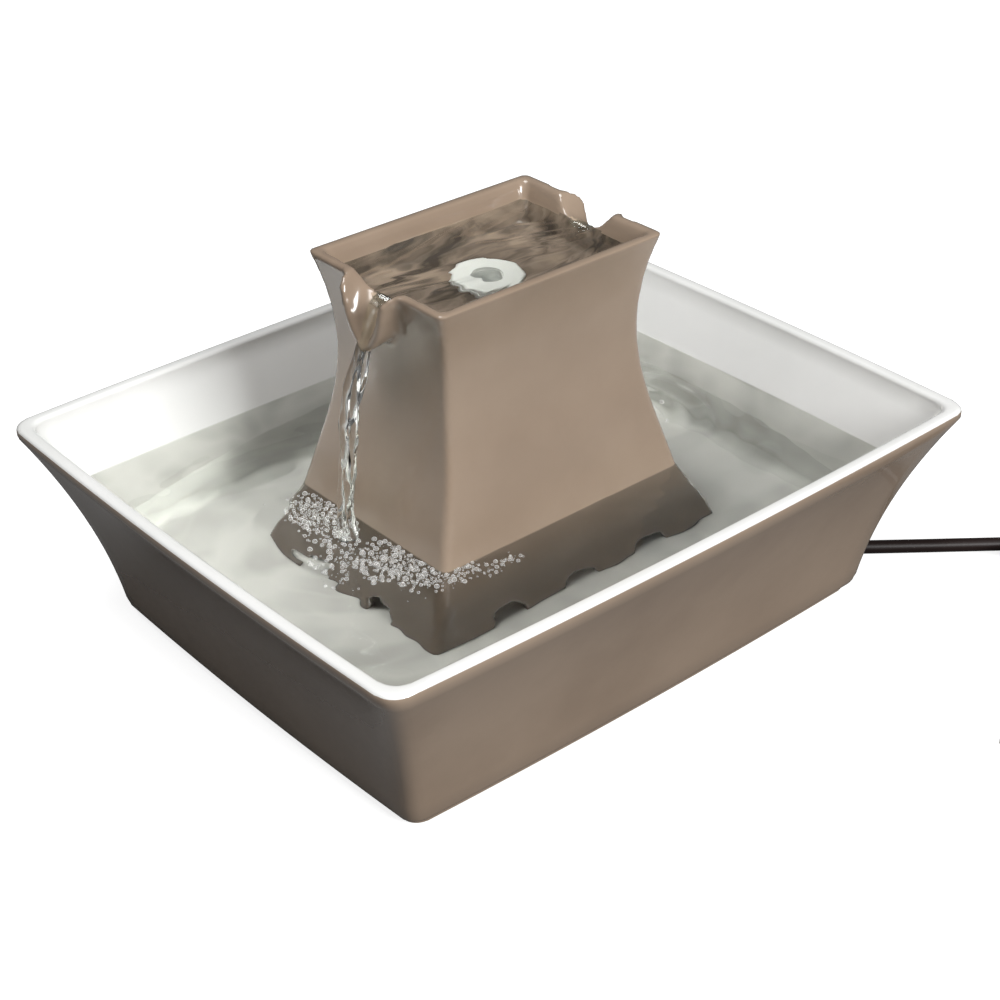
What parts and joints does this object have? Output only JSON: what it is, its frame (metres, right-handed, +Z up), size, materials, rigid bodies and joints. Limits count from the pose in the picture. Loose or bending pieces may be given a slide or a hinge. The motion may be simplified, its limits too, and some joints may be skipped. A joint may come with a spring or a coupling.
{
  "type": "pet water fountain",
  "caption": "Ceramic pet water fountain: flared oblong bowl, waisted lift-off tower with pouring lips, submerged pump with filter, mains flex with a plug.",
  "frame": {"origin": "on the table, under the middle of the bowl", "axes": "+Z up, +X along the bowl's long side from one pouring lip to the other, +Y to the back"},
  "size_m": [0.418, 0.3815, 0.1784],
  "materials": {
    "bowl_glaze": "glossy taupe glaze",
    "tower_glaze": "glossy taupe glaze",
    "white_plastic": "smooth, half gloss",
    "grey_plastic": "satin",
    "black_plastic": "fine matte",
    "clear_rubber": "satin, half clear",
    "black_rubber": "satin",
    "core_steel": "laminated, dull",
    "copper_wire": "enamelled copper wire",
    "resin": "cast resin, smooth",
    "ferrite": "dull ferrite",
    "shaft_steel": "polished",
    "foam": "open-cell foam",
    "carbon": "carbon granules in fleece",
    "flex": "smooth, half matte",
    "plug": "moulded, half matte",
    "blade_brass": "bright, plated"
  },
  "bodies": {
    "base": {"bowl": "bowl_glaze", "outlet_tube": "white_plastic", "stator_core": "core_steel", "stator_winding": "copper_wire", "stator_resin": "resin", "pump_housing": "black_plastic", "suction_cup_1": "clear_rubber", "suction_cup_2": "clear_rubber", "suction_cup_3": "clear_rubber", "suction_cup_4": "clear_rubber", "volute_cover": "black_plastic", "volute_seal": "clear_rubber", "rotor_shaft": "shaft_steel", "shaft_bush_front": "black_rubber", "shaft_bush_rear": "black_rubber", "intake_cover": "black_plastic", "filter_caddy": "white_plastic", "cord_boot": "black_rubber", "pump_cord": "flex", "cord_gland": "black_rubber", "cord": "flex", "cord_coil": "flex", "cord_tie": "grey_plastic", "cord_tail": "flex", "plug_body": "plug", "plug_relief": "plug", "plug_blade_1": "blade_brass", "plug_blade_2": "blade_brass"},
    "tower": {"tower": "tower_glaze", "outlet_nozzle": "white_plastic", "nozzle_gasket": "clear_rubber", "nozzle_nut": "white_plastic"},
    "rotor": {"impeller": "white_plastic", "rotor_magnet": "ferrite"},
    "slider": {"flow_slider": "grey_plastic"},
    "filter": {"filter_frame": "white_plastic", "filter_media": "carbon"},
    "foam": {"intake_foam": "foam"}
  },
  "joints": [
    {"name": "tower_lift", "type": "slide", "parent": "base", "child": "tower", "axis": [0, 0, 1], "range_m": [0, 0.16]},
    {"name": "rotor_spin", "type": "hinge", "parent": "base", "child": "rotor", "pos_m": [0, 0, 0.0375], "axis": [1, 0, 0], "continuous": true},
    {"name": "flow_adjust", "type": "slide", "parent": "base", "child": "slider", "axis": [0, 1, 0], "range_m": [0, 0.003]},
    {"name": "filter_pull", "type": "slide", "parent": "base", "child": "filter", "axis": [0, 0, 1], "range_m": [0, 0.05]},
    {"name": "foam_pull", "type": "slide", "parent": "base", "child": "foam", "axis": [0, 0, 1], "range_m": [0, 0.045]}
  ]
}
